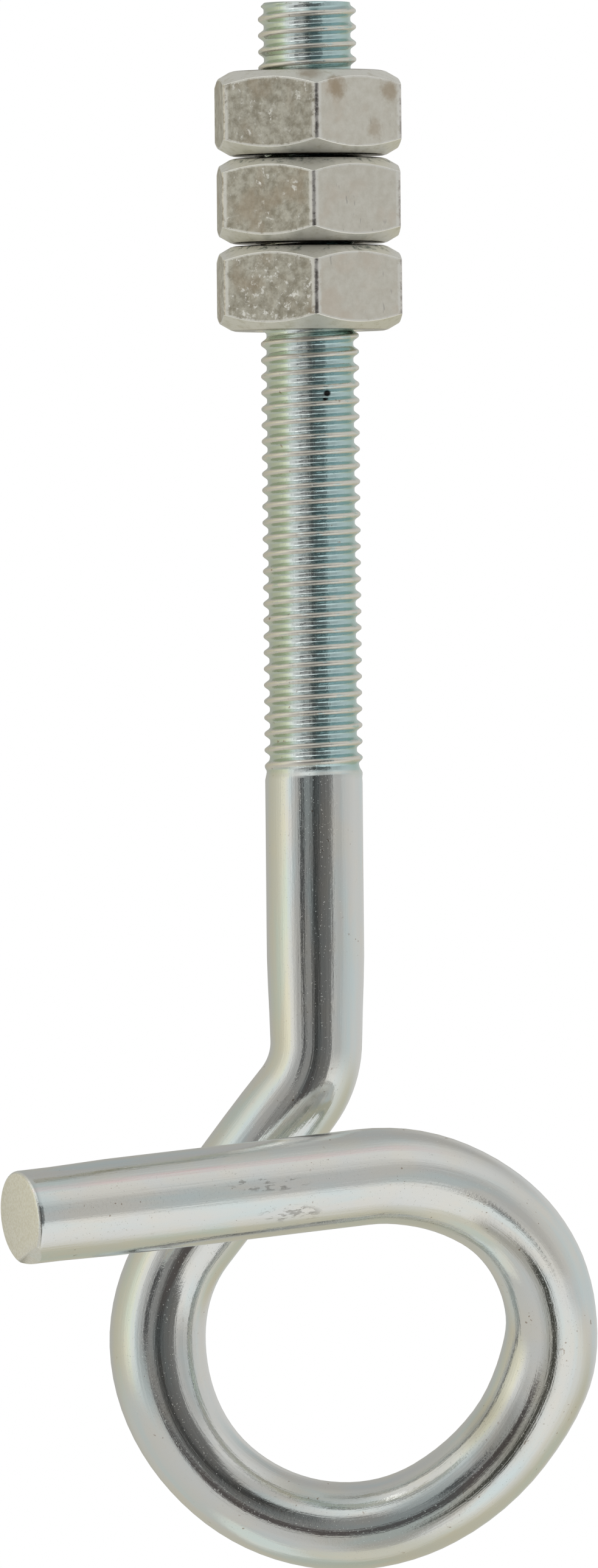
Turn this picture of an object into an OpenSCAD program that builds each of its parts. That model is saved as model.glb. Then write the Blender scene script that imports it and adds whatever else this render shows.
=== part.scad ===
// Swing hook: one round steel rod with a threaded shank, a bent neck, a pigtail loop and a straight
// tail, and three hexagon nuts on the thread.
// Z runs up the shank, X to the right and Y to the back. The origin lies on the shank's axis, in the
// plane of the lowest nut's underside, which is the face that bears on the beam.

/* [Rod] */
// Diameter of the bare rod at the shank
rod_d = 9.525; // [8:0.025:11]
// How much thinner the rod is at its tail, drawn down by the bending
draw_down = 0.5; // [0.3:0.05:0.9]

/* [Thread] */
// Diameter over the crests
thread_d = 9.6; // [8:0.05:10.5]
// Distance from crest to crest, which is also the length of the run-out
thread_pitch = 1.5875; // [1:0.0125:2]
// Length from the chamfered end down to the run-out
thread_len = 74.5; // [50:0.5:90]
// Chamfer at the end
end_chamfer = 0.6; // [0.2:0.05:1.2]
// Free thread above the top nut
stub_len = 6.8; // [2:0.1:20]

/* [Shank] */
// Straight length from the chamfered end down to the neck's bend
shank_len = 101.5; // [85:0.1:150]

/* [Neck] */
// Turn of the bend, to the left
neck_angle = 37.6; // [30:0.1:45]
// Lean of the neck to the back
neck_lean_angle = 5; // [2:0.5:10]
// Bend radius at the rod's centre
neck_r = 9; // [8:0.1:18]
// Straight length below the bend
neck_run = 17.3; // [8:0.1:25]

/* [Loop] */
// Bend radius from the neck into the left side
shoulder_r = 16.5; // [14:0.1:25]
// Bend radius down the left side and under the loop
side_r = 18.3; // [15:0.1:25]
// Bend radius of the flat part of the foot
foot_r = 24.4; // [17:0.1:30]
// Bend radius up the right side
right_r = 15.7; // [14:0.1:25]
// Bend radius over the crown, into the tail
crown_r = 21.6; // [14:0.1:28]

/* [Tail] */
// Slope of the tail below the horizontal
tail_drop_angle = 5.8; // [0:0.1:12]
// Lean of the tail to the front
tail_lean_angle = 24; // [18:0.5:32]
// Straight length
tail_len = 36.5; // [25:0.1:50]
// Edge broken off round the sheared end
tail_chamfer = 0.35; // [0.1:0.05:1]
// Depth of the facet that broke out as the end was sheared off, measured in from the rim
break_out = 1.2; // [0.4:0.1:2]
// Turn of that facet from the underside to the front
break_out_angle = 16; // [-40:1:40]

/* [Nuts] */
// Width across the flats
nut_af = 17.5; // [15:0.5:22]
// Height
nut_h = 8.1; // [5:0.1:12]
// Gap between one nut and the next
nut_gap = 0.45; // [0.4:0.05:3]
// Diameter of the flat bearing faces, inside the chamfers
nut_face_d = 15.4; // [13:0.1:17]
// Angle of the chamfers from the bearing faces
nut_chamfer_angle = 30; // [15:1:40]
// Countersink at each end of the bore
nut_mouth = 0.45; // [0.2:0.05:1]
// Radial clearance between a nut's bore and the thread's crests
running_clearance = 0.05; // [0.02:0.01:0.1]
// Turn of the top nut from corner to the front
top_nut_angle = 5; // [-30:0.5:30]
// Turn of the middle nut from corner to the front
middle_nut_angle = 3; // [-30:0.5:30]
// Turn of the bottom nut from corner to the front
bottom_nut_angle = 4; // [-30:0.5:30]

/* [Hidden] */
$fn = 96;

ZINC = [0.74, 0.75, 0.73];
DULL_ZINC = [0.66, 0.64, 0.59];

// Levels on the shank's axis
nut_step = nut_h + nut_gap;
nuts_top = 2 * nut_step + nut_h;
shank_top = nuts_top + stub_len;
thread_end = shank_top - thread_len;
shank_foot = shank_top - shank_len;

// Headings are angles in the plane of X and Z, so 270 points down and 540 points left once the rod
// has gone round the loop. A lean tips the rod out of that plane, to the front.
DOWN = 270;
LEFT = 540;
neck_heading = DOWN - neck_angle;
tail_heading = LEFT + tail_drop_angle;

// The loop winds in equal steps of heading and lean, arc after arc from the neck to the tail, so that
// it climbs to the front like a pigtail.
loop_radii = [shoulder_r, side_r, side_r, side_r, foot_r, right_r, right_r, crown_r];
loop_steps = len(loop_radii);

function direction(heading, lean) = [cos(heading) * cos(lean), -sin(lean), sin(heading) * cos(lean)];
function along_loop(step, first, last) = first + (last - first) * step / loop_steps;
function loop_direction(step) =
  direction(along_loop(step, neck_heading, tail_heading), along_loop(step, -neck_lean_angle, tail_lean_angle));

// Bend i turns the rod from directions[i] to directions[i + 1], and runs[i] is the straight after it.
directions = concat([direction(DOWN, 0)], [for (step = [0 : loop_steps]) loop_direction(step)]);
radii = concat([neck_r], loop_radii);
last_bend = loop_steps;
runs = [for (i = [0 : last_bend]) i == 0 ? neck_run : i == last_bend ? tail_len : 0];

function bend_axis(i) = let (c = cross(directions[i], directions[i + 1])) c / norm(c);
function bend_angle(i) = acos(directions[i] * directions[i + 1]);
// From the bend's centre of curvature to the rod's centre, where the bend starts and where it ends
function arm_in(i) = cross(directions[i], bend_axis(i));
function arm_out(i) = cross(directions[i + 1], bend_axis(i));
function bend_start(i) = i == 0 ? [0, 0, shank_foot] : bend_end(i - 1) + runs[i - 1] * directions[i];
function bend_end(i) = bend_start(i) + radii[i] * (arm_out(i) - arm_in(i));

// The rod is a chain of stretches: the shank, the neck's bend and run, the loop's arcs and the tail.
// Each is a hair thinner than the one before it and starts a lap inside it.
lap = 0.2;
tail_stretch = loop_steps + 3;
function rod_r(stretch) = (rod_d - draw_down * stretch / tail_stretch) / 2;
function bend_stretch(i) = i == 0 ? 1 : i + 2;

thread_r = thread_d / 2;

// The sheared end, with its way down and the way its facet faces
tail_way = directions[last_bend + 1];
tail_tip = bend_end(last_bend) + tail_len * tail_way;
tail_down = let (v = [0, 0, -1] + tail_way[2] * tail_way) v / norm(v);
facet_way = cos(break_out_angle) * tail_down + sin(break_out_angle) * cross(tail_way, tail_down);

// Puts the children at a point, with their X and Z axes along two unit vectors at right angles
module place(at, x, z) {
  y = cross(z, x);
  multmatrix([
    [x[0], y[0], z[0], at[0]],
    [x[1], y[1], z[1], at[1]],
    [x[2], y[2], z[2], at[2]],
    [0, 0, 0, 1]
  ]) children();
}

// The threaded shank as one turned profile, with its crests' outline and the run-out
module shank() {
  bare_r = rod_r(0);
  rotate_extrude()
    polygon([
      [0, shank_foot],
      [bare_r, shank_foot],
      [bare_r, thread_end - thread_pitch],
      [thread_r, thread_end],
      [thread_r, shank_top - end_chamfer],
      [thread_r - end_chamfer, shank_top],
      [0, shank_top]
    ]);
}

// One bend of the rod
module bend(i) {
  lap_angle = lap / radii[i] * 180 / PI;
  place(bend_start(i) - radii[i] * arm_in(i), arm_in(i), bend_axis(i))
    rotate_extrude(angle = bend_angle(i) + lap_angle, start = -lap_angle)
      translate([radii[i], 0])
        circle(r = rod_r(bend_stretch(i)));
}

// The straight rod after a bend, with a chamfer at its far end where it has one
module straight(i, stretch, chamfer = 0) {
  r = rod_r(stretch);
  plain = lap + runs[i] - chamfer;
  place(bend_end(i) - lap * directions[i + 1], bend_axis(i), directions[i + 1]) {
    cylinder(r = r, h = plain);
    if (chamfer > 0) translate([0, 0, plain]) cylinder(r1 = r, r2 = r - chamfer, h = chamfer);
  }
}

// The straight tail, with the facet cut across the rim of its sheared end
module tail() {
  facet_normal = (tail_way + facet_way) / sqrt(2);
  facet_across = (facet_way - tail_way) / sqrt(2);
  difference() {
    straight(last_bend, tail_stretch, tail_chamfer);
    place(tail_tip + (rod_r(tail_stretch) - break_out) * facet_way, facet_across, facet_normal)
      translate([-rod_d, -rod_d, 0]) cube([2 * rod_d, 2 * rod_d, rod_d]);
  }
}

module hook_rod() {
  color(ZINC) {
    shank();
    for (i = [0 : last_bend]) bend(i);
    straight(0, 2);
    tail();
  }
}

// The turned disc that gives a nut its chamfers, wider than the corners so that it cuts only those
module chamfered_disc() {
  face_r = nut_face_d / 2;
  rim_r = nut_af;
  rise = (rim_r - face_r) * tan(nut_chamfer_angle);
  rotate_extrude()
    intersection() {
      polygon([
        [0, 0],
        [face_r, 0],
        [rim_r, rise],
        [rim_r, nut_h],
        [0, nut_h]
      ]);
      polygon([
        [0, 0],
        [rim_r, 0],
        [rim_r, nut_h - rise],
        [face_r, nut_h],
        [0, nut_h]
      ]);
    }
}

// The bore with its countersinks, carried a little past both faces
module nut_bore() {
  past = 0.5;
  bore_r = thread_r + running_clearance;
  mouth_r = bore_r + nut_mouth + past;
  rotate_extrude()
    polygon([
      [0, -past],
      [mouth_r, -past],
      [bore_r, nut_mouth],
      [bore_r, nut_h - nut_mouth],
      [mouth_r, nut_h + past],
      [0, nut_h + past]
    ]);
}

// A nut on the shank's axis, at a level and turned from corner to the front
module hex_nut(level, turn) {
  corner_to_front = 30;
  color(DULL_ZINC)
    translate([0, 0, level])
      difference() {
        intersection() {
          rotate(corner_to_front + turn) cylinder(d = nut_af / cos(30), h = nut_h, $fn = 6);
          chamfered_disc();
        }
        nut_bore();
      }
}

module top_nut() hex_nut(2 * nut_step, top_nut_angle);
module middle_nut() hex_nut(nut_step, middle_nut_angle);
module bottom_nut() hex_nut(0, bottom_nut_angle);

hook_rod();
top_nut();
middle_nut();
bottom_nut();
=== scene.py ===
import math

import bmesh
import bpy
from mathutils import Matrix, Vector


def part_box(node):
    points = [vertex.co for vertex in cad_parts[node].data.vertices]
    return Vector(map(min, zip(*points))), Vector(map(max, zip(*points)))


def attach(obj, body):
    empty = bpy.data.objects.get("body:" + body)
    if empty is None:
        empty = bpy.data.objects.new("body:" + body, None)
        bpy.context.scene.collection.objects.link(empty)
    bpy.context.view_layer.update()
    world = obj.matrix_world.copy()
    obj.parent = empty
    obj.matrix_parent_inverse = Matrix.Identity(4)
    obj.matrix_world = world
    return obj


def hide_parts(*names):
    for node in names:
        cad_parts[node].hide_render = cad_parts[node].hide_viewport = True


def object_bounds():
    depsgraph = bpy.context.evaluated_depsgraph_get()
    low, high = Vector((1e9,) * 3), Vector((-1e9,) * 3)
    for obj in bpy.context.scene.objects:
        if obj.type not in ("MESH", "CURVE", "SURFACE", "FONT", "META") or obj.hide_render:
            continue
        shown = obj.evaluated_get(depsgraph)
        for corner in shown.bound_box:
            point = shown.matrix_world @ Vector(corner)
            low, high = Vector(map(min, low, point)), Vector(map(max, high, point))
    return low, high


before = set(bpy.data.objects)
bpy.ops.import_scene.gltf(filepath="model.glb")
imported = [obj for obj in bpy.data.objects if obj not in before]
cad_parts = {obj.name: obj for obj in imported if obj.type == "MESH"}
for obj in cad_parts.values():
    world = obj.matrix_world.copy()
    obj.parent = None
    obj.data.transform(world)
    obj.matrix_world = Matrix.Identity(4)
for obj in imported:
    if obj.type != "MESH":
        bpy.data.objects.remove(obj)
cad_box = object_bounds()

MM = 0.001
# Points within CLOSE of a plane lie in it, and points within SEAM of each other are merged
CLOSE = 0.002 * MM
SEAM = 0.004 * MM

# The shank and its thread
ROD_R = 9.525 / 2 * MM
THREAD_R = 9.6 / 2 * MM
THREAD_DEPTH = 0.56 * MM
THREAD_PITCH = 1.5875 * MM
THREAD_LEN = 74.5 * MM
END_CHAMFER = 0.6 * MM
SHANK_LEN = 101.5 * MM
SHANK_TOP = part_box("hook_rod")[1].z
SHANK_FOOT = SHANK_TOP - SHANK_LEN
THREAD_END = SHANK_TOP - THREAD_LEN

# The bends, from the neck round the loop to the tail. Headings are in the plane of X and Z, so 270
# points down and 540 points left after the loop, and a lean tips the rod out of it, to the front.
DOWN = 270
LEFT = 540
NECK_ANGLE = 37.6
NECK_LEAN = 5
NECK_R = 9 * MM
NECK_RUN = 17.3 * MM
SHOULDER_R = 16.5 * MM
SIDE_R = 18.3 * MM
FOOT_R = 24.4 * MM
RIGHT_R = 15.7 * MM
CROWN_R = 21.6 * MM
TAIL_DROP = 5.8
TAIL_LEAN = 24
TAIL_LEN = 36.5 * MM
LOOP_RADII = [SHOULDER_R, SIDE_R, SIDE_R, SIDE_R, FOOT_R, RIGHT_R, RIGHT_R, CROWN_R]
# The facet that broke out of the sheared end: its depth in from the rim, and its turn to the front
BREAK_OUT = 1.2 * MM
BREAK_OUT_ANGLE = math.radians(16)

# The nuts, each with its node, its body and its turn in degrees from corner to the front
NUTS = (
    ("top_nut", "nut_top", 5),
    ("middle_nut", "nut_middle", 3),
    ("bottom_nut", "nut_bottom", 4),
)
NUT_AF = 17.5 * MM
NUT_CORNER_R = NUT_AF / 2 / math.cos(math.radians(30))
NUT_FACE_R = 15.4 / 2 * MM
NUT_CHAMFER = math.radians(30)
NUT_MOUTH = 0.45 * MM
RUNNING_CLEARANCE = 0.05 * MM
NUT_BORE_R = THREAD_R + RUNNING_CLEARANCE
NUT_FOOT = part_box("bottom_nut")[0].z
NUT_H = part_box("bottom_nut")[1].z - NUT_FOOT
# From the foot of one nut to the foot of the next
NUT_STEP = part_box("middle_nut")[0].z - NUT_FOOT


def deselect_all():
    bpy.ops.object.select_all(action="DESELECT")


def select_only(obj):
    deselect_all()
    bpy.context.view_layer.objects.active = obj
    obj.select_set(True)


def edit(obj, mode="VERT"):
    """Opens one object in edit mode, with nothing else selected."""
    select_only(obj)
    bpy.ops.object.mode_set(mode="EDIT")
    bpy.ops.mesh.select_mode(type=mode)


def leave_edit():
    bpy.ops.object.mode_set(mode="OBJECT")


def pick(obj, kind, test):
    """Selects the vertices, edges or faces of the object in edit mode that pass a test."""
    mesh = bmesh.from_edit_mesh(obj.data)
    for item in [*mesh.verts, *mesh.edges, *mesh.faces]:
        item.select = False
    for item in getattr(mesh, kind):
        if test(item):
            item.select_set(True)
    mesh.select_flush_mode()
    bmesh.update_edit_mesh(obj.data)


def apply_modifiers(obj):
    select_only(obj)
    for name in [modifier.name for modifier in obj.modifiers]:
        bpy.ops.object.modifier_apply(modifier=name)


def settle(obj, smooth_angle):
    """Closes the seams, turns the faces outwards and shades the round faces smooth."""
    edit(obj)
    bpy.ops.mesh.select_all(action="SELECT")
    bpy.ops.mesh.remove_doubles(threshold=SEAM)
    bpy.ops.mesh.normals_make_consistent(inside=False)
    leave_edit()
    bpy.ops.object.shade_smooth_by_angle(angle=smooth_angle)


def draw_out(step):
    bpy.ops.mesh.extrude_region_move(TRANSFORM_OT_translate={"value": step})


def colour(red, green, blue):
    return (red, green, blue, 1)


# The route of the rod


def direction(heading, lean):
    h, tip = math.radians(heading), math.radians(lean)
    return Vector((math.cos(h) * math.cos(tip), -math.sin(tip), math.sin(h) * math.cos(tip)))


def route():
    """The bends in order, each with its axis, angle, radius and ends, and the straight that follows it."""
    first, last = DOWN - NECK_ANGLE, LEFT + TAIL_DROP
    steps = len(LOOP_RADII)
    directions = [direction(DOWN, 0)]
    for step in range(steps + 1):
        share = step / steps
        heading = first + (last - first) * share
        lean = -NECK_LEAN + (TAIL_LEAN + NECK_LEAN) * share
        directions.append(direction(heading, lean))
    radii = [NECK_R, *LOOP_RADII]
    runs = [NECK_RUN] + [0] * (steps - 1) + [TAIL_LEN]
    start = Vector((0, 0, SHANK_FOOT))
    bends = []
    for i, radius in enumerate(radii):
        axis = directions[i].cross(directions[i + 1]).normalized()
        centre = start - radius * directions[i].cross(axis)
        end = centre + radius * directions[i + 1].cross(axis)
        bends.append({
            "axis": axis, "angle": directions[i].angle(directions[i + 1]), "radius": radius,
            "start": start, "centre": centre, "end": end, "out": directions[i + 1], "run": runs[i],
        })
        start = end + runs[i] * directions[i + 1]
    return bends


# The rod

ROD_SIDES = 64
ROD_SMOOTH = math.radians(40)
PROFILE_STEPS = 18
# The screw is turned this many pitches longer than the thread, some of them above its free end
SPARE_TURNS = 4
SPARE_ABOVE = 2
# The thread's profile: half the width of a crest, the curve of a flank and where the root begins
CREST_HALF = 0.06 * MM
CREST_SHARPNESS = 1.5
ROOT_FROM = 0.74 * MM
# A crest passes the right-hand side of the shank this far below its top
CREST_DROP = 0.83 * MM
# The grooves fade out between these heights above the thread's end
RUN_OUT_FROM = 0.8 * THREAD_PITCH
RUN_OUT_TO = -1.2 * THREAD_PITCH
# The thread is cut off square here, and joined to the bare blank across a small gap
BLANK_TOP = THREAD_END + RUN_OUT_TO - 0.2 * THREAD_PITCH
BLANK_GAP = 0.3 * MM
CUT_SEAM = 0.05 * MM
BEND_STEP = math.radians(4)
RUN_STEP = 3 * MM
ROUND_SEGMENTS = 4
TAIL_ROUND = 0.4 * MM
# The last ring before the sheared end, which keeps the rim's shading off the tail
RIM_RING = 0.7 * MM
# Thickness in the plane of the bends, as a share of the bare rod, by millimetres below the shank's
# foot: bending pressed the rod thinner at the neck, round the foot and up the right side
THICKNESS = [
    (-9, 1), (1, 0.94), (10, 0.97), (24, 0.94), (35, 0.99), (50, 0.91), (66, 0.9),
    (82, 0.93), (90, 0.98), (96, 0.925), (106, 0.915), (119, 0.98), (149, 0.985), (156, 0.955),
]


def smooth_share(value):
    share = min(1, max(0, value))
    return share * share * (3 - 2 * share)


def profile_radius(height):
    """Radius of the thread at a height above or below the middle of a crest."""
    flank = (ROOT_FROM - abs(height)) / (ROOT_FROM - CREST_HALF)
    return THREAD_R - THREAD_DEPTH * (1 - smooth_share(flank) ** CREST_SHARPNESS)


def cut_thread():
    """One pitch of the thread's profile, turned up the shank as a right-hand screw."""
    turns = math.ceil((THREAD_LEN + SPARE_TURNS * THREAD_PITCH) / THREAD_PITCH)
    bottom = SHANK_TOP - CREST_DROP - (turns - SPARE_ABOVE) * THREAD_PITCH
    points = []
    for i in range(PROFILE_STEPS + 1):
        height = (i / PROFILE_STEPS - 0.5) * THREAD_PITCH
        points.append(Vector((profile_radius(height), 0, bottom + height)))
    bpy.ops.mesh.primitive_plane_add(size=MM, location=points[0])
    rod = bpy.context.object
    bpy.ops.object.transform_apply()
    edit(rod)
    bpy.ops.mesh.select_all(action="SELECT")
    bpy.ops.mesh.merge(type="CENTER")
    for here, there in zip(points, points[1:]):
        draw_out(there - here)
    leave_edit()
    screw = rod.modifiers.new("thread", "SCREW")
    screw.axis = "Z"
    screw.screw_offset = THREAD_PITCH
    screw.iterations = turns
    screw.steps = ROD_SIDES
    screw.render_steps = ROD_SIDES
    apply_modifiers(rod)
    edit(rod)
    bpy.ops.mesh.select_all(action="SELECT")
    bpy.ops.mesh.remove_doubles(threshold=SEAM)
    leave_edit()
    return rod


def run_out_and_chamfer(rod):
    """Fades the grooves into the bare shank, and turns the chamfer on the free end."""
    for vertex in rod.data.vertices:
        radius = vertex.co.xy.length
        above_end = vertex.co.z - THREAD_END
        fade = smooth_share((RUN_OUT_FROM - above_end) / (RUN_OUT_FROM - RUN_OUT_TO))
        wanted = radius + (ROD_R - radius) * fade
        into_chamfer = max(0, vertex.co.z - (SHANK_TOP - END_CHAMFER))
        wanted = min(wanted, THREAD_R - into_chamfer)
        vertex.co.xy *= wanted / radius


def trim_thread(rod):
    """Cuts the screw's ragged ends off square, and closes the free end."""
    edit(rod)
    bpy.ops.mesh.select_all(action="SELECT")
    bpy.ops.mesh.bisect(
        plane_co=(0, 0, SHANK_TOP), plane_no=(0, 0, 1), use_fill=True, clear_outer=True, threshold=CLOSE)
    bpy.ops.mesh.select_all(action="SELECT")
    bpy.ops.mesh.bisect(
        plane_co=(0, 0, BLANK_TOP), plane_no=(0, 0, -1), clear_outer=True, threshold=CLOSE)
    pick(rod, "verts", lambda v: abs(v.co.z - BLANK_TOP) < CLOSE)
    bpy.ops.mesh.remove_doubles(threshold=CUT_SEAM)
    leave_edit()


def thickness(length):
    """The rod's share of its full thickness, at a length below the shank's foot."""
    for (low, first), (high, last) in zip(THICKNESS, THICKNESS[1:]):
        if length < high * MM:
            return first + (last - first) * smooth_share((length / MM - low) / (high - low))
    return THICKNESS[-1][1]


def press(centre, across, along, share):
    """Scales the newest ring about its centre, in one direction across the rod."""
    axes = Matrix((across, along.cross(across), along)).transposed()
    bpy.ops.transform.resize(
        value=(share, 1, 1), center_override=centre,
        orient_type="GLOBAL", orient_matrix=axes, orient_matrix_type="GLOBAL")


class Blank:
    """The round blank as it is drawn out ring by ring, and how its newest ring is pressed."""

    def __init__(self, across):
        self.length = SHANK_FOOT - BLANK_TOP + BLANK_GAP
        self.across = across
        self.share = 1

    def advance(self, centre, across, along, length):
        """Frees the newest ring of the last pressing and gives it its own."""
        press(centre, self.across, along, 1 / self.share)
        self.length += length
        self.across = across
        self.share = thickness(self.length)
        press(centre, across, along, self.share)

    def run(self, start, along, length):
        steps = math.ceil(length / RUN_STEP)
        step = length / steps
        for i in range(steps):
            draw_out(step * along)
            self.advance(start + (i + 1) * step * along, self.across, along, step)

    def bend(self, bend):
        steps = math.ceil(bend["angle"] / BEND_STEP)
        step = bend["angle"] / steps
        turn = Matrix.Rotation(step, 3, bend["axis"])
        arm = bend["start"] - bend["centre"]
        for _ in range(steps):
            bpy.ops.mesh.spin(steps=1, angle=step, center=bend["centre"], axis=-bend["axis"])
            arm = turn @ arm
            self.across = turn @ self.across
            along = bend["axis"].cross(arm).normalized()
            self.advance(bend["centre"] + arm, arm.normalized(), along, bend["radius"] * step)


def draw_rod():
    """Draws the blank down the shank, round each bend and out to the tail's sheared end."""
    top = Vector((0, 0, BLANK_TOP - BLANK_GAP))
    deselect_all()
    bpy.ops.mesh.primitive_circle_add(vertices=ROD_SIDES, radius=ROD_R, location=top)
    rod = bpy.context.object
    bpy.ops.object.transform_apply()
    edit(rod)
    bpy.ops.mesh.select_all(action="SELECT")
    bends = route()
    blank = Blank((bends[0]["start"] - bends[0]["centre"]).normalized())
    blank.run(top, Vector((0, 0, -1)), top.z - SHANK_FOOT)
    tail = bends[-1]
    for bend in bends:
        blank.bend(bend)
        run = bend["run"] - RIM_RING if bend is tail else bend["run"]
        if run:
            blank.run(bend["end"], bend["out"], run)
    blank.run(tail["end"] + (tail["run"] - RIM_RING) * tail["out"], tail["out"], RIM_RING)
    finish_tail(rod, tail)
    return rod


def finish_tail(rod, tail):
    """Closes the sheared end of the tail, rounds its rim and breaks the facet out of it."""
    way = tail["out"]
    tip = tail["end"] + tail["run"] * way
    bpy.ops.mesh.edge_face_add()
    at_tip = 2 * ROD_R
    pick(rod, "edges", lambda e: all(
        (v.co - tip).dot(way) > -CLOSE and (v.co - tip).length < at_tip for v in e.verts))
    bpy.ops.mesh.bevel(offset=TAIL_ROUND, segments=ROUND_SEGMENTS, affect="EDGES")
    down = (Vector((0, 0, -1)) + way.z * way).normalized()
    facet_way = math.cos(BREAK_OUT_ANGLE) * down + math.sin(BREAK_OUT_ANGLE) * way.cross(down)
    pick(rod, "faces", lambda f: all((v.co - tip).length < at_tip for v in f.verts))
    bpy.ops.mesh.bisect(
        plane_co=tip + (ROD_R - BREAK_OUT) * facet_way, plane_no=(way + facet_way).normalized(),
        use_fill=True, clear_outer=True, threshold=CLOSE)
    leave_edit()


def join_rod(thread, blank):
    """Joins the blank to the thread's foot."""
    deselect_all()
    blank.select_set(True)
    thread.select_set(True)
    bpy.context.view_layer.objects.active = thread
    bpy.ops.object.join()
    edit(thread, "EDGE")
    pick(thread, "edges", lambda e: e.is_boundary)
    bpy.ops.mesh.bridge_edge_loops()
    leave_edit()


# Maps on the rod

# How far past its ends a bend or a straight still claims a point
BEND_SLACK = 0.01
RUN_SLACK = 0.1 * MM
# How squarely a face looks along the tail, on the sheared end and on its facet, and how torn each is
END_FACING = 0.9
FACET_FACING = 0.5
END_TORN = 1
FACET_TORN = 0.5


def straighten(point, bends):
    """Where a point of the bent rod would lie if the rod were straight again, along Z."""
    if point.z > SHANK_FOOT:
        return point.copy()
    claims = []
    length = 0
    turned = Matrix.Identity(3)
    for bend in bends:
        axis, arm = bend["axis"], bend["start"] - bend["centre"]
        offset = point - bend["centre"]
        flat = offset - axis * offset.dot(axis)
        angle = math.atan2(axis.dot(arm.cross(flat)), arm.dot(flat))
        if -BEND_SLACK < angle < bend["angle"] + BEND_SLACK:
            across = Matrix.Rotation(-angle, 3, axis) @ offset - arm
            claims.append((across.length, turned @ across, length + angle * bend["radius"]))
        turned = turned @ Matrix.Rotation(-bend["angle"], 3, axis)
        length += bend["angle"] * bend["radius"]
        offset = point - bend["end"]
        along = offset.dot(bend["out"])
        if bend["run"] and -RUN_SLACK < along < bend["run"] + RUN_SLACK:
            across = offset - along * bend["out"]
            claims.append((across.length, turned @ across, length + along))
        length += bend["run"]
    _, across, along = min(claims, key=lambda claim: claim[0])
    return Vector((across.x, across.y, SHANK_FOOT - along))


def lay_straight_map(rod):
    """Keeps each point's place on the straight rod, so that draw marks and wear follow the bends."""
    bends = route()
    places = rod.data.attributes.new("straight", "FLOAT_VECTOR", "POINT")
    for vertex in rod.data.vertices:
        places.data[vertex.index].vector = straighten(vertex.co, bends) / MM


def lay_end_map(rod):
    """Marks the sheared end's face and facet."""
    tail = route()[-1]
    tip = tail["end"] + tail["run"] * tail["out"]
    sheared = rod.data.attributes.new("sheared", "FLOAT", "FACE")
    for face in rod.data.polygons:
        if (face.center - tip).length < ROD_R:
            facing = face.normal.dot(tail["out"])
            if facing > END_FACING:
                sheared.data[face.index].value = END_TORN
            elif facing > FACET_FACING:
                sheared.data[face.index].value = FACET_TORN


def make_hook_rod():
    rod = cut_thread()
    run_out_and_chamfer(rod)
    trim_thread(rod)
    join_rod(rod, draw_rod())
    settle(rod, ROD_SMOOTH)
    lay_straight_map(rod)
    lay_end_map(rod)
    rod.name = "bent_hook_rod"
    return rod


# Making the nuts

NUT_SIDES = 96
NUT_SMOOTH = math.radians(35)
# Each nut is cut with its corners midway between the turned cuts' sides, and then turned to its place
HALF_SIDE = math.pi / NUT_SIDES
# How far the turned cuts pass the nut
CUT_PAST = 0.5 * MM
# The rounding of the corners, and of the edges that are sharper than an angle
NUT_EDGE = 0.24 * MM
NUT_BREAK = 0.3 * MM
NUT_BREAK_SEGMENTS = 2
NUT_BREAK_ANGLE = math.radians(20)
# The bearing faces are a little crowned, which all but closes the gaps between the nuts
NUT_CROWN = 0.1 * MM
NUT_CROWN_R = NUT_FACE_R - 0.35 * MM
# How a nut's faces are told apart: by the upright share of their normals, and a flat by its area too
TILT_SLACK = 0.02
CORNER_TILT = 0.1
BEARING_TILT = 0.95
FLAT_AREA = NUT_AF * NUT_AF / 10


def turned_solid(profile):
    """A closed turned solid on the shank's axis, through (radius, height) pairs from the bottom up."""
    radius, height = profile[0]
    deselect_all()
    bpy.ops.mesh.primitive_circle_add(
        vertices=NUT_SIDES, radius=radius, fill_type="NGON", location=(0, 0, height))
    solid = bpy.context.object
    bpy.ops.object.transform_apply()
    edit(solid)
    bpy.ops.mesh.select_all(action="SELECT")
    for wide, high in profile[1:]:
        draw_out((0, 0, high - height))
        bpy.ops.transform.resize(value=(wide / radius, wide / radius, 1), center_override=(0, 0, high))
        radius, height = wide, high
    bpy.ops.mesh.select_all(action="SELECT")
    bpy.ops.mesh.normals_make_consistent(inside=False)
    leave_edit()
    return solid


def cut_with(obj, tool, operation):
    boolean = obj.modifiers.new("cut", "BOOLEAN")
    boolean.operation = operation
    boolean.solver = "EXACT"
    boolean.object = tool
    apply_modifiers(obj)
    bpy.data.objects.remove(tool)


def hexagon_blank(low, high):
    """A hexagon between two heights, with room for the crowns and with rounded corners."""
    height = high - low
    deselect_all()
    bpy.ops.mesh.primitive_cylinder_add(
        vertices=6, radius=NUT_CORNER_R, depth=height + 2 * NUT_CROWN,
        location=(0, 0, (low + high) / 2), rotation=(0, 0, HALF_SIDE))
    nut = bpy.context.object
    bpy.ops.object.transform_apply()
    edit(nut, "EDGE")
    pick(nut, "edges", lambda e: abs(e.verts[0].co.z - e.verts[1].co.z) > height / 2)
    bpy.ops.mesh.bevel(offset=NUT_EDGE, segments=ROUND_SEGMENTS, affect="EDGES")
    leave_edit()
    return nut


def turn_chamfers(nut, low, high):
    """Turns the chamfers and the crowned bearing faces, top and bottom."""
    rim_r = NUT_CORNER_R + CUT_PAST
    rise = (rim_r - NUT_FACE_R) * math.tan(NUT_CHAMFER)
    disc = turned_solid([
        (NUT_CROWN_R, low - NUT_CROWN), (NUT_FACE_R, low), (rim_r, low + rise),
        (rim_r, high - rise), (NUT_FACE_R, high), (NUT_CROWN_R, high + NUT_CROWN)])
    cut_with(nut, disc, "INTERSECT")


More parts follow.
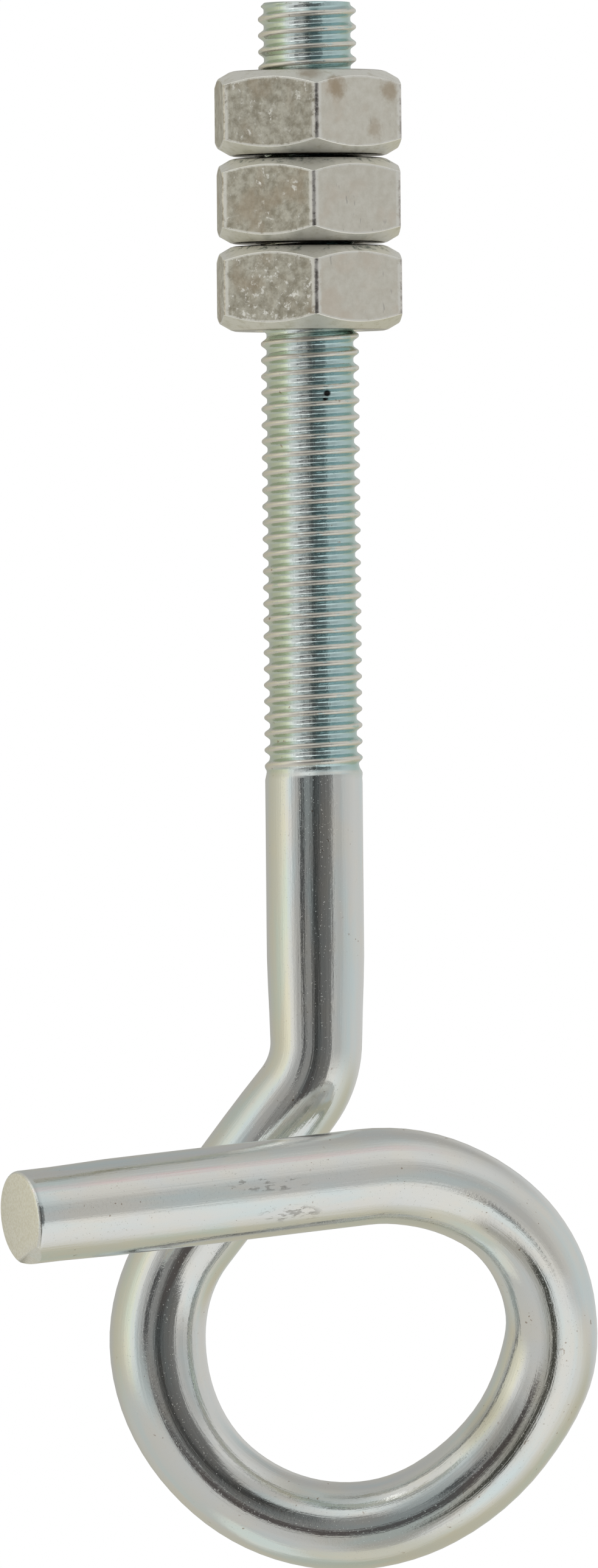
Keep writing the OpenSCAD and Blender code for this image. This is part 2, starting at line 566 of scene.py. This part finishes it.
def bore(nut, low, high):
    """Bores the nut and countersinks both mouths."""
    mouth_r = NUT_BORE_R + NUT_MOUTH + CUT_PAST
    drill = turned_solid([
        (mouth_r, low - CUT_PAST), (NUT_BORE_R, low + NUT_MOUTH),
        (NUT_BORE_R, high - NUT_MOUTH), (mouth_r, high + CUT_PAST)])
    cut_with(nut, drill, "DIFFERENCE")


def break_edges(nut):
    """Rounds the edges that the cuts left, and keeps the flats' shading even."""
    broken = nut.modifiers.new("broken_edges", "BEVEL")
    broken.width = NUT_BREAK
    broken.segments = NUT_BREAK_SEGMENTS
    broken.limit_method = "ANGLE"
    broken.angle_limit = NUT_BREAK_ANGLE
    apply_modifiers(nut)
    settle(nut, NUT_SMOOTH)
    even = nut.modifiers.new("even_flats", "WEIGHTED_NORMAL")
    even.keep_sharp = True
    apply_modifiers(nut)


def lay_flat_map(nut):
    """Marks the dull flats and chamfers, the left half's flats that get painted shade, the corners and the
    bearing faces.
    """
    names = ("dull", "chamfer", "shaded_left_flat", "corner", "bearing")
    for name in names:
        nut.data.attributes.new(name, "FLOAT", "FACE")
    maps = {name: nut.data.attributes[name].data for name in names}
    chamfer_tilt = math.cos(NUT_CHAMFER)
    for face in nut.data.polygons:
        tilt = abs(face.normal.z)
        is_flat = tilt < TILT_SLACK and face.area > FLAT_AREA
        is_chamfer = abs(tilt - chamfer_tilt) < TILT_SLACK
        maps["dull"][face.index].value = float(is_flat or is_chamfer)
        maps["chamfer"][face.index].value = float(is_chamfer)
        maps["shaded_left_flat"][face.index].value = float(is_flat and face.normal.x < 0)
        maps["corner"][face.index].value = float(tilt < CORNER_TILT and not is_flat)
        maps["bearing"][face.index].value = float(tilt > BEARING_TILT)


def make_nut(node, turn):
    """A hexagon nut in its node's place, turned by some degrees from corner to the front."""
    low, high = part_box(node)
    nut = hexagon_blank(low.z, high.z)
    turn_chamfers(nut, low.z, high.z)
    bore(nut, low.z, high.z)
    break_edges(nut)
    nut.rotation_euler.z = math.radians(turn) - HALF_SIDE
    bpy.ops.object.transform_apply()
    lay_flat_map(nut)
    nut.name = "hexagon_" + node
    return nut


# Materials


class Nodes:
    """A material's or world's node tree, with short ways to add nodes."""

    def __init__(self, owner):
        owner.use_nodes = True
        self.tree = owner.node_tree
        self.tree.nodes.clear()

    def add(self, kind, **values):
        node = self.tree.nodes.new(kind)
        for name, value in values.items():
            setattr(node, name, value)
        return node

    def put(self, socket, value):
        if isinstance(value, bpy.types.NodeSocket):
            self.tree.links.new(value, socket)
        else:
            socket.default_value = value

    def attribute(self, name, output="Fac"):
        return self.add("ShaderNodeAttribute", attribute_name=name).outputs[output]

    def object_place(self):
        """The place on the object, in millimetres."""
        return self.scaled(self.add("ShaderNodeTexCoord").outputs["Object"], (1 / MM,) * 3)

    def math(self, operation, first, second=0.0):
        node = self.add("ShaderNodeMath", operation=operation)
        self.put(node.inputs[0], first)
        self.put(node.inputs[1], second)
        return node.outputs[0]

    def plus(self, first, second):
        return self.math("ADD", first, second)

    def times(self, first, *others):
        for other in others:
            first = self.math("MULTIPLY", first, other)
        return first

    def from_axis(self, x, y):
        """The distance from the shank's axis."""
        return self.math("SQRT", self.plus(self.times(x, x), self.times(y, y)))

    def scaled(self, vector, scale):
        node = self.add("ShaderNodeVectorMath", operation="MULTIPLY")
        self.put(node.inputs[0], vector)
        self.put(node.inputs[1], scale)
        return node.outputs[0]

    def distance(self, vector, point):
        node = self.add("ShaderNodeVectorMath", operation="DISTANCE")
        self.put(node.inputs[0], vector)
        self.put(node.inputs[1], point)
        return node.outputs["Value"]

    def split(self, vector):
        node = self.add("ShaderNodeSeparateXYZ")
        self.put(node.inputs[0], vector)
        return node.outputs

    def noise(self, vector, scale=1.0, detail=2.0, roughness=0.5):
        node = self.add("ShaderNodeTexNoise")
        self.put(node.inputs["Vector"], vector)
        node.inputs["Scale"].default_value = scale
        node.inputs["Detail"].default_value = detail
        node.inputs["Roughness"].default_value = roughness
        return node.outputs["Fac"]

    def step(self, value, low, high, to_low=0.0, to_high=1.0):
        """Eases from one value to another as the input goes from low to high."""
        node = self.add("ShaderNodeMapRange", interpolation_type="SMOOTHSTEP")
        self.put(node.inputs["Value"], value)
        node.inputs["From Min"].default_value = low
        node.inputs["From Max"].default_value = high
        node.inputs["To Min"].default_value = to_low
        node.inputs["To Max"].default_value = to_high
        return node.outputs["Result"]

    def mix(self, share, first, second):
        node = self.add("ShaderNodeMix", data_type="RGBA")
        self.put(node.inputs[0], share)
        self.put(node.inputs[6], first)
        self.put(node.inputs[7], second)
        return node.outputs[2]

    def bump(self, height, distance, strength, normal=None):
        node = self.add("ShaderNodeBump")
        node.inputs["Strength"].default_value = strength
        node.inputs["Distance"].default_value = distance
        self.put(node.inputs["Height"], height)
        if normal:
            self.put(node.inputs["Normal"], normal)
        return node.outputs["Normal"]

    def surface(self, base, roughness, metallic=0, normal=None):
        """Ends a material's tree in one principled shader."""
        shader = self.add("ShaderNodeBsdfPrincipled")
        shader.inputs["Metallic"].default_value = metallic
        self.put(shader.inputs["Base Color"], base)
        self.put(shader.inputs["Roughness"], roughness)
        if normal:
            self.put(shader.inputs["Normal"], normal)
        out = self.add("ShaderNodeOutputMaterial")
        self.put(out.inputs["Surface"], shader.outputs[0])


# The rod's bright zinc. Places, radii and reaches in the materials are in millimetres.

COOL_ZINC = colour(0.74, 0.75, 0.74)
WARM_ZINC = colour(0.77, 0.755, 0.71)
BLUE_FILM = colour(0.64, 0.77, 0.80)
WORN_CREST = colour(0.80, 0.76, 0.69)
RUSTY_SPECK = colour(0.33, 0.26, 0.2)
TORN_DARK = colour(0.88, 0.85, 0.75)
TORN_BRIGHT = colour(1.0, 0.99, 0.93)
# The rolled thread's bluish plating tint under painted light: a painted warm reflection on the left, then
# a painted highlight, the plain tint and painted shade to the right, each with the stretch it comes in over
THREAD_TINT_AND_REFLECTION_LEFT = colour(0.57, 0.65, 0.56)
THREAD_TINT_AND_PAINTED_LIGHT = [
    (-2.8, -1.6, colour(0.92, 1.0, 1.0)),
    (-0.6, 0.7, colour(0.49, 0.66, 0.68)),
    (3.0, 4.2, colour(0.39, 0.56, 0.51)),
]
# The radii between which a crest begins to look worn
CREST_FROM = 4.56
CREST_FULL = 4.70
# A rosy line along the tail of the straightened rod: its middle, its half widths at the
# edge and at full strength, how far round the rod it lies, and where it starts and is full
ROSY = colour(0.80, 0.63, 0.64)
ROSY_MIDDLE = -0.15
ROSY_HALF = (0.42, 0.12)
ROSY_SIDE = (-3, -4)
ROSY_ALONG = (SHANK_FOOT / MM - 114, SHANK_FOOT / MM - 122)
# Scuffed patches on the tail, a darker patch inside the right bend and a black spot on the thread, each
# with its place and its reach along X, Y and Z
SCUFFS = [
    ((-5.2, -23.5, -83.0), (5.2, 5, 0.9)),
    ((-2.6, -22.9, -85.9), (3.8, 5, 1.0)),
]
SCUFFED = colour(0.27, 0.26, 0.24)
DARKER_BEND_PATCH = ((16.4, -11, -107.5), (5.5, 9, 5.5))
DARKER_BEND = colour(0.44, 0.44, 0.41)
BLACK_SPOT = ((1.65, -4.2, -6.3), (0.46, 1.4, 0.4))
BLACK = colour(0.02, 0.02, 0.02)
# The share of a patch's reach in which it has its full strength
PATCH_CORE = 0.55
# How much of the plate each of these covers where it is strongest
FILM_SHARE = 0.6
THREAD_TINT_AND_LIGHT_SHARE = 0.9
CREST_SHARE = 0.9
SPECK_SHARE = 0.7
SCUFF_SHARE = 0.62
DARKER_BEND_SHARE = 0.55
# How often the patterns repeat along X, Y and Z of the straightened rod, so how far they are drawn out
FILM_STRETCH = (0.5, 0.5, 0.08)
DRAW_MARK_STRETCH = (2.2, 2.2, 0.06)
GRAIN_STRETCH = (1, 1, 0.7)
DASH_STRETCH = (2.6, 2.6, 0.8)
WEAR_STRETCH = (0.7, 0.7, 3)
# The relief of the draw marks, the grain, the pits, the worn thread's waves and the torn end
DRAW_MARK_DEPTH = 0.12 * MM
GRAIN_DEPTH = 0.02 * MM
PIT_DEPTH = 0.03 * MM
WAVE_DEPTH = 0.2 * MM
TEAR_DEPTH = 0.1 * MM
# The plate's roughness at its brightest and its cloudiest, and what other surfaces add to it
BRIGHT_ROUGHNESS = 0.03
CLOUDY_ROUGHNESS = 0.09
THREAD_ROUGHER = 0.03
CREST_ROUGHER = 0.25
SHEARED_ROUGHER = 0.4


def near(n, here, patch):
    """The share of a soft-edged patch at a place."""
    at, reach = patch
    scale = tuple(1 / r for r in reach)
    centre = tuple(a / r for a, r in zip(at, reach))
    return n.step(n.distance(n.scaled(here, scale), centre), 1.0, PATCH_CORE)


def plate_colour(n, place, streaks, cloud):
    """The plate's cool and warm clouds, its bluish film and the rosy line along the tail."""
    x, y, z = n.split(place)
    film = n.noise(n.scaled(place, FILM_STRETCH))
    zinc = n.mix(n.step(cloud, 0.35, 0.7), COOL_ZINC, WARM_ZINC)
    zinc = n.mix(n.step(film, 0.46, 0.72, 0, FILM_SHARE), zinc, BLUE_FILM)
    from_line = n.math("ABSOLUTE", n.math("SUBTRACT", y, ROSY_MIDDLE))
    rosy = n.times(n.step(from_line, *ROSY_HALF), n.step(x, *ROSY_SIDE), n.step(z, *ROSY_ALONG))
    broken = n.step(streaks, 0.35, 0.6, 0.3, 0.9)
    return n.mix(n.times(rosy, broken), zinc, ROSY)


def thread_colour(n, x, zinc, threaded, crest):
    """The rolled thread's bluish tint under a painted reflection, highlight and shade from left to right,
    and its worn crests.
    """
    # These tones paint a reflection, a highlight and shade across the thread, over its bluish tint
    thread_tint_and_light = THREAD_TINT_AND_REFLECTION_LEFT
    for low, high, tone in THREAD_TINT_AND_PAINTED_LIGHT:
        thread_tint_and_light = n.mix(n.step(x, low, high), thread_tint_and_light, tone)
    zinc = n.mix(n.times(threaded, THREAD_TINT_AND_LIGHT_SHARE), zinc, thread_tint_and_light)
    return n.mix(n.times(crest, CREST_SHARE), zinc, WORN_CREST)


def mark(n, place, zinc, cloud):
    """Rusty specks in the warm clouds, dashes on the scuffed tail, a darker patch in a bend and a black
    spot.
    """
    specks = n.step(n.noise(place, scale=1.9, detail=1.0), 0.72, 0.76)
    specks = n.times(specks, n.step(cloud, 0.5, 0.6), SPECK_SHARE)
    zinc = n.mix(specks, zinc, RUSTY_SPECK)
    here = n.object_place()
    dashes = n.step(n.noise(n.scaled(place, DASH_STRETCH), detail=3.0, roughness=0.6), 0.52, 0.6)
    scuffs = n.math("MAXIMUM", *(near(n, here, scuff) for scuff in SCUFFS))
    zinc = n.mix(n.times(dashes, scuffs, SCUFF_SHARE), zinc, SCUFFED)
    zinc = n.mix(n.times(near(n, here, DARKER_BEND_PATCH), DARKER_BEND_SHARE), zinc, DARKER_BEND)
    return n.mix(near(n, here, BLACK_SPOT), zinc, BLACK)


def bright_zinc():
    """Bright zinc plate on drawn rod: draw marks, grain and pits, a worn thread with painted highlight and
    shade, and a sheared end.
    """
    material = bpy.data.materials.new("bright_zinc")
    n = Nodes(material)
    place = n.attribute("straight", "Vector")
    sheared = n.attribute("sheared")
    x, y, z = n.split(place)
    threaded = n.step(z, (THREAD_END - THREAD_PITCH) / MM, THREAD_END / MM)
    worn = n.noise(n.scaled(place, WEAR_STRETCH), detail=3.0)
    crest = n.times(threaded, n.step(n.from_axis(x, y), CREST_FROM, CREST_FULL), n.step(worn, 0.25, 0.5))
    streaks = n.noise(n.scaled(place, DRAW_MARK_STRETCH), detail=4.0, roughness=0.6)
    grain = n.noise(n.scaled(place, GRAIN_STRETCH), scale=4.0, detail=3.0, roughness=0.65)
    pits = n.step(n.plus(n.noise(place, scale=6.5, detail=1.0), n.times(streaks, 0.2)), 0.81, 0.89)
    cloud = n.noise(place, scale=0.22, detail=3.0)
    zinc = plate_colour(n, place, streaks, cloud)
    zinc = thread_colour(n, x, zinc, threaded, crest)
    zinc = mark(n, place, zinc, cloud)
    torn = n.mix(n.step(grain, 0.3, 0.7), TORN_DARK, TORN_BRIGHT)
    zinc = n.mix(sheared, zinc, torn)
    rough = n.step(n.plus(streaks, cloud), 0.7, 1.3, BRIGHT_ROUGHNESS, CLOUDY_ROUGHNESS)
    for share, rougher in ((threaded, THREAD_ROUGHER), (crest, CREST_ROUGHER), (sheared, SHEARED_ROUGHER)):
        rough = n.plus(rough, n.times(share, rougher))
    relief = n.bump(streaks, DRAW_MARK_DEPTH, strength=0.2)
    relief = n.bump(grain, GRAIN_DEPTH, strength=0.4, normal=relief)
    relief = n.bump(pits, PIT_DEPTH, strength=0.5, normal=relief)
    relief = n.bump(n.times(worn, threaded), WAVE_DEPTH, strength=0.14, normal=relief)
    relief = n.bump(n.times(grain, sheared), TEAR_DEPTH, strength=0.5, normal=relief)
    n.surface(zinc, rough, metallic=1, normal=relief)
    return material


# The nuts' dull zinc

GREY_PLATE = colour(0.72, 0.69, 0.61)
PALE_PLATE = colour(0.83, 0.81, 0.74)
TAN_CLOUD = colour(0.74, 0.65, 0.55)
SCORED = colour(0.40, 0.38, 0.36)
# The left flats' plate is painted darker, as shade
SHADED_PLATE = colour(0.39, 0.36, 0.29)
MID_PLATE = colour(0.70, 0.68, 0.60)
BROWN_CLOUD = colour(0.48, 0.40, 0.30)
FROST = colour(1.0, 0.99, 0.95)
TURNED = colour(0.76, 0.74, 0.66)
# Painted shade with some grime, for the grooves between the nuts
SHADE_AND_GRIME = colour(0.20, 0.24, 0.22)
# Rubbed rims, lightened further as a painted highlight
RIM_WEAR_AND_HIGHLIGHT = colour(0.88, 0.87, 0.82)
DARK_CORNER = colour(0.44, 0.41, 0.38)
RUBBED_CORNER = colour(0.84, 0.82, 0.78)
# The bearing faces are painted dark, as the shade between the nuts
SHADED_BEARING_FACE = colour(0.57, 0.55, 0.50)
STAIN = colour(0.42, 0.31, 0.19)
# The flats are more frosted from this height down to the lowest nut's foot, by this much
FROST_FROM = 14
FROST_LOW = 0.18
# Painted shade, with some grime, in the grooves between the nuts: the radii where it ends and is full, how
# far above the middle of a nut it starts and is full, and the heights that keep it off the top nut
SHADE_AND_GRIME_R = (8.9, 8.1)
SHADE_AND_GRIME_UP = (0, 0.5)
SHADE_AND_GRIME_BELOW = (20, 19)
# The width of the painted highlight along the rim of a flat, and the widths of it from a corner where it
# starts and is full
RIM_W = 0.13
RIM_AT_CORNER = (2.5, 1.5)
# Stains on the top nut: place, radius where the stain ends and its strength
STAINS = [
    ((0.3, -8.4, 24.9), 1.7, 0.5),
    ((2.8, -8.7, 23.4), 1.6, 0.7),
    ((8.0, -5.1, 23.2), 1.4, 0.55),
    ((6.5, -6.1, 19.4), 1.3, 0.4),
]
# How ragged a stain's edge is, and the distance within which it has its full strength
STAIN_RAGGED = 1.4
STAIN_CORE = 1.0
# How much of the plate the clouds and scores cover where they are strongest, and how scores are drawn out
TAN_SHARE = 0.5
BROWN_SHARE = 0.6
SCORE_SHARE = 0.5
SCORE_STRETCH = (1, 1, 0.35)
# The plate's roughness on the bright rims, and what the dull faces add to it
RIM_ROUGHNESS = 0.22
DULL_ROUGHER = 0.26
# The relief of the mottling, and its share on the right, to which the left flats add
MOTTLE_DEPTH = 0.1 * MM
MOTTLE_RIGHT = 0.2
MOTTLE_LEFT = 0.8


def smoother_flats(n, place, mottle, cloud):
    """The flats on the right: pale, with tan clouds and a few dark scores."""
    plate = n.mix(n.step(mottle, 0.25, 0.75), GREY_PLATE, PALE_PLATE)
    plate = n.mix(n.step(cloud, 0.5, 0.72, 0, TAN_SHARE), plate, TAN_CLOUD)
    scores = n.noise(n.scaled(place, SCORE_STRETCH), scale=1.7)
    return n.mix(n.step(scores, 0.68, 0.76, 0, SCORE_SHARE), plate, SCORED)


def shaded_mottled_flats(n, place, mottle, cloud):
    """The flats on the left: darkened by painted shade, with brown clouds and frosty flecks that thicken
    downwards.
    """
    plate = n.mix(n.step(mottle, 0.3, 0.7), SHADED_PLATE, MID_PLATE)
    plate = n.mix(n.step(cloud, 0.48, 0.7, 0, BROWN_SHARE), plate, BROWN_CLOUD)
    lower = n.step(n.split(place)[2], 0, FROST_FROM, FROST_LOW, 0)
    frosted = n.step(n.plus(n.noise(place, scale=0.5), lower), 0.5, 0.66)
    flecks = n.step(n.noise(place, scale=1.7, detail=4.0, roughness=0.65), 0.54, 0.66)
    return n.mix(n.times(flecks, frosted), plate, FROST)


def groove_shade_and_grime(n, z, out, from_middle):
    """Painted shade with some grime in the grooves between the nuts, on the upper chamfers of the two lower
    nuts.
    """
    return n.times(n.step(out, *SHADE_AND_GRIME_R), n.step(from_middle, *SHADE_AND_GRIME_UP), n.step(z, *SHADE_AND_GRIME_BELOW))


def flat_rim_highlight(n, out, from_middle):
    """A painted highlight along the rim of a flat, on its arcs under the chamfers and beside its corners.
    """
    arc = n.times(n.math("SUBTRACT", out, NUT_FACE_R / MM), math.tan(NUT_CHAMFER))
    from_face = n.math("SUBTRACT", NUT_H / 2 / MM, n.math("ABSOLUTE", from_middle))
    along_arc = n.step(n.math("SUBTRACT", from_face, arc), 2 * RIM_W, RIM_W)
    at_corner = n.step(out, *(NUT_CORNER_R / MM - widths * RIM_W for widths in RIM_AT_CORNER))
    return n.math("MAXIMUM", along_arc, at_corner)


def stained(n, place, mottle, plate):
    """The plate with brown, ragged stains on the top nut."""
    for at, end, strength in STAINS:
        ragged = n.plus(n.distance(place, at), n.times(mottle, STAIN_RAGGED))
        stain = n.step(ragged, end + STAIN_RAGGED / 2, STAIN_CORE)
        plate = n.mix(n.times(stain, strength), plate, STAIN)
    return plate


def dull_zinc():
    """Dull barrel plate on the nuts: mottled and darkened by painted shade on the left flats, smoother on
    the right, with painted highlights along rubbed rims and painted shade with grime between the nuts.
    """
    material = bpy.data.materials.new("dull_zinc")
    n = Nodes(material)
    place = n.object_place()
    x, y, z = n.split(place)
    out = n.from_axis(x, y)
    above_foot = n.math("MODULO", n.math("SUBTRACT", z, NUT_FOOT / MM), NUT_STEP / MM)
    from_middle = n.math("SUBTRACT", above_foot, NUT_H / 2 / MM)
    dull = n.attribute("dull")
    shaded_left = n.attribute("shaded_left_flat")
    corner = n.attribute("corner")
    mottle = n.noise(place, scale=1.1, detail=5.0, roughness=0.7)
    cloud = n.noise(place, scale=0.3, detail=3.0)
    # The left flats take painted shade: a darker plate than the right flats
    plate = n.mix(shaded_left, smoother_flats(n, place, mottle, cloud), shaded_mottled_flats(n, place, mottle, cloud))
    # The grooves between the nuts get painted shade, with some grime
    turned = n.mix(groove_shade_and_grime(n, z, out, from_middle), TURNED, SHADE_AND_GRIME)
    plate = n.mix(n.attribute("chamfer"), plate, turned)
    # A painted highlight along each flat's rim, broken by the mottle
    rim_highlight = n.times(flat_rim_highlight(n, out, from_middle), n.step(mottle, 0.32, 0.52))
    plate = n.mix(rim_highlight, plate, RIM_WEAR_AND_HIGHLIGHT)
    plate = n.mix(dull, RIM_WEAR_AND_HIGHLIGHT, plate)
    plate = n.mix(corner, plate, n.mix(n.step(mottle, 0.38, 0.62), DARK_CORNER, RUBBED_CORNER))
    # Painted shade on the bearing faces, which lie between the nuts
    plate = n.mix(n.attribute("bearing"), plate, SHADED_BEARING_FACE)
    plate = stained(n, place, mottle, plate)
    blunt = n.math("MAXIMUM", dull, n.times(corner, n.step(mottle, 0.4, 0.6)))
    rough = n.plus(n.times(blunt, DULL_ROUGHER), RIM_ROUGHNESS)
    rugged = n.times(mottle, n.plus(n.times(shaded_left, MOTTLE_LEFT), MOTTLE_RIGHT))
    n.surface(plate, rough, metallic=1, normal=n.bump(rugged, MOTTLE_DEPTH, strength=0.5))
    return material


def dress(piece, material, body, node):
    piece.data.materials.append(material)
    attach(piece, body)
    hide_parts(node)


# Camera, floor and light

# The photograph's height in pixels, and its scale in the plane of the shank's axis
IMAGE_H = 2576
PIXELS_PER_MM = 16.8
CAMERA_DISTANCE = 2.0
CAMERA_AIM = Vector((-1.46, 0, -44.4)) * MM
CAMERA_ROLL = math.radians(0.528)
SENSOR = 36.0
FLOOR_DROP = 0.1
FLOOR_R = 1.6
FLOOR_SIDES = 96
FLOOR_ROUGHNESS = 0.9
FLOOR_DARK = colour(0.78, 0.75, 0.68)
FLOOR_PALE = colour(0.82, 0.79, 0.73)


def add_camera():
    data = bpy.data.cameras.new("camera")
    data.sensor_width = SENSOR
    data.lens = SENSOR * CAMERA_DISTANCE / (IMAGE_H / PIXELS_PER_MM * MM)
    camera = bpy.data.objects.new("camera", data)
    bpy.context.scene.collection.objects.link(camera)
    place = Matrix.Translation(CAMERA_AIM - Vector((0, CAMERA_DISTANCE, 0)))
    level = Matrix.Rotation(math.pi / 2, 4, "X")
    camera.matrix_world = place @ Matrix.Rotation(CAMERA_ROLL, 4, "Y") @ level
    bpy.context.scene.camera = camera


def add_floor():
    deselect_all()
    bpy.ops.mesh.primitive_circle_add(
        vertices=FLOOR_SIDES, radius=FLOOR_R, fill_type="NGON",
        location=(0, 0, cad_box[0].z - FLOOR_DROP))
    floor = bpy.context.object
    floor.name = "floor"
    material = bpy.data.materials.new("pale_floor")
    n = Nodes(material)
    place = n.add("ShaderNodeTexCoord").outputs["Object"]
    n.surface(n.mix(n.noise(place, scale=3.0), FLOOR_DARK, FLOOR_PALE), FLOOR_ROUGHNESS)
    floor.data.materials.append(material)
    floor.visible_glossy = False


# Tints of the tent's cloth
NEUTRAL = (1, 1, 0.98)
CREAM = (1, 0.99, 0.92)
WARM = (1, 0.97, 0.79)
# The tent's tones by azimuth, in three rings: at the level of the object, above it and below it
EYE_RING = [
    (-180, 0.44, CREAM),
    (-150, 0.50, CREAM),
    (-125, 0.57, WARM),
    (-105, 0.63, WARM),
    (-88, 0.76, WARM),
    (-74, 0.96, WARM),
    (-62, 0.87, NEUTRAL),
    (-51, 0.58, NEUTRAL),
    (-42, 0.46, NEUTRAL),
    (-30, 0.40, NEUTRAL),
    (40, 0.42, NEUTRAL),
    (47, 0.58, NEUTRAL),
    (54, 0.51, NEUTRAL),
    (64, 0.52, NEUTRAL),
    (76, 0.62, NEUTRAL),
    (110, 0.70, NEUTRAL),
    (165, 0.66, NEUTRAL),
    (180, 0.44, CREAM),
]
HIGH_RING = [
    (-180, 0.46, NEUTRAL),
    (-150, 0.46, NEUTRAL),
    (-112, 0.53, CREAM),
    (-90, 0.78, CREAM),
    (-72, 0.80, NEUTRAL),
    (-50, 0.74, NEUTRAL),
    (-25, 0.86, NEUTRAL),
    (-4, 0.75, NEUTRAL),
    (12, 0.56, NEUTRAL),
    (30, 0.55, NEUTRAL),
    (46, 0.71, NEUTRAL),
    (62, 0.80, NEUTRAL),
    (100, 0.72, NEUTRAL),
    (120, 0.64, NEUTRAL),
    (145, 0.47, NEUTRAL),
    (180, 0.46, NEUTRAL),
]
LOW_RING = [
    (-180, 0.53, WARM),
    (-130, 0.60, CREAM),
    (-40, 0.64, NEUTRAL),
    (-24, 0.59, NEUTRAL),
    (-12, 0.45, CREAM),
    (8, 0.42, CREAM),
    (20, 0.70, NEUTRAL),
    (32, 0.88, NEUTRAL),
    (54, 0.89, NEUTRAL),
    (76, 0.85, NEUTRAL),
    (96, 0.76, CREAM),
    (126, 0.60, WARM),
    (180, 0.53, WARM),
]
# The camera stands in a dark opening, which is darkest straight behind it
OPENING_RING = [
    (-180, 0.24, NEUTRAL),
    (-23, 0.27, NEUTRAL),
    (-15, 0.30, NEUTRAL),
    (-6, 0.14, NEUTRAL),
    (2, 0.04, NEUTRAL),
    (12, 0.135, NEUTRAL),
    (25, 0.155, NEUTRAL),
    (38, 0.21, NEUTRAL),
    (180, 0.24, NEUTRAL),
]
# The elevations over which the level ring gives way to the others, and they to the top and the bottom
HIGH_FROM_TO = (16, 42)
LOW_FROM_TO = (-4, -22)
ZENITH_FROM_TO = (54, 80)
NADIR_FROM_TO = (-60, -82)
ZENITH = colour(0.52, 0.53, 0.51)
NADIR = colour(0.70, 0.69, 0.60)
# Windows in the tent, each with its two limits and its soft edge's width in azimuth and in elevation,
# and its tone: a lamp, a sheet on the floor, a leg of the camera's stand, the opening, the edge of a
# table below it and a post beside it
SOFTBOX = ((-62, -44, 4), (40, 57, 4), colour(1.7, 1.7, 1.66))
FLOOR_SHEET = ((-150, -60, 15), (-76, -48, 8), colour(0.80, 0.80, 0.74))
LEG = ((-5, 20, 7), (-48, -26, 6), colour(0.07, 0.07, 0.06))
OPENING = ((-27, 46, 6), (-24, 32, 8), OPENING_RING)
TABLE = ((-31, 14, 8), (-27, -5, 6), colour(0.10, 0.09, 0.088))
POST = ((-37, -22, 5), (-8, 8, 5), colour(0.09, 0.09, 0.09))
WHITE = colour(1, 1, 1)
FILL_LIGHT = colour(0.75, 0.75, 0.74)


def cloth(level, tint):
    return colour(*(level * share for share in tint))


def ring(n, azimuth, tones):
    """The tones of a ring of cloth, by azimuth."""
    node = n.add("ShaderNodeValToRGB")
    n.put(node.inputs[0], n.plus(n.math("DIVIDE", azimuth, 360), 0.5))
    elements = node.color_ramp.elements
    elements[0].color = cloth(*tones[0][1:])
    elements[1].color = cloth(*tones[-1][1:])
    for angle, level, tint in tones[1:-1]:
        elements.new(angle / 360 + 0.5).color = cloth(level, tint)
    return node.outputs[0]


def window(n, azimuth, wide, elevation, high):
    """The share of a soft-edged rectangle in the tent."""
    inside = 1.0
    for angle, (low, top, edge) in ((azimuth, wide), (elevation, high)):
        inside = n.times(inside, n.step(angle, low, low + edge), n.step(angle, top, top - edge))
    return inside


def add_light_tent():
    """A pale tent all round, with a dark opening where the camera stands. The camera sees it white."""
    world = bpy.data.worlds.new("light_tent")
    bpy.context.scene.world = world
    n = Nodes(world)
    x, y, z = n.split(n.add("ShaderNodeTexCoord").outputs["Generated"])
    degrees = 180 / math.pi
    azimuth = n.times(n.math("ARCTAN2", x, n.times(y, -1.0)), degrees)
    elevation = n.times(n.math("ARCSINE", z), degrees)
    tent = ring(n, azimuth, EYE_RING)
    tent = n.mix(n.step(elevation, *HIGH_FROM_TO), tent, ring(n, azimuth, HIGH_RING))
    tent = n.mix(n.step(elevation, *LOW_FROM_TO), tent, ring(n, azimuth, LOW_RING))
    tent = n.mix(n.step(elevation, *ZENITH_FROM_TO), tent, ZENITH)
    tent = n.mix(n.step(elevation, *NADIR_FROM_TO), tent, NADIR)
    for wide, high, tone in (SOFTBOX, FLOOR_SHEET, LEG, OPENING, TABLE, POST):
        shade = ring(n, azimuth, tone) if tone is OPENING_RING else tone
        tent = n.mix(window(n, azimuth, wide, elevation, high), tent, shade)
    path = n.add("ShaderNodeLightPath")
    seen = n.mix(path.outputs["Is Camera Ray"], tent, WHITE)
    by_eye = n.math("MAXIMUM", path.outputs["Is Camera Ray"], path.outputs["Is Glossy Ray"])
    by_eye = n.math("MAXIMUM", by_eye, path.outputs["Is Transmission Ray"])
    background = n.add("ShaderNodeBackground")
    n.put(background.inputs["Color"], n.mix(by_eye, FILL_LIGHT, seen))
    out = n.add("ShaderNodeOutputWorld")
    n.put(out.inputs["Surface"], background.outputs[0])


bpy.context.scene.view_settings.view_transform = "Standard"
add_camera()
add_floor()
add_light_tent()

rod_finish = bright_zinc()
nut_finish = dull_zinc()
dress(make_hook_rod(), rod_finish, "hook", "hook_rod")
for nut_node, nut_body, nut_turn in NUTS:
    dress(make_nut(nut_node, nut_turn), nut_finish, nut_body, nut_node)
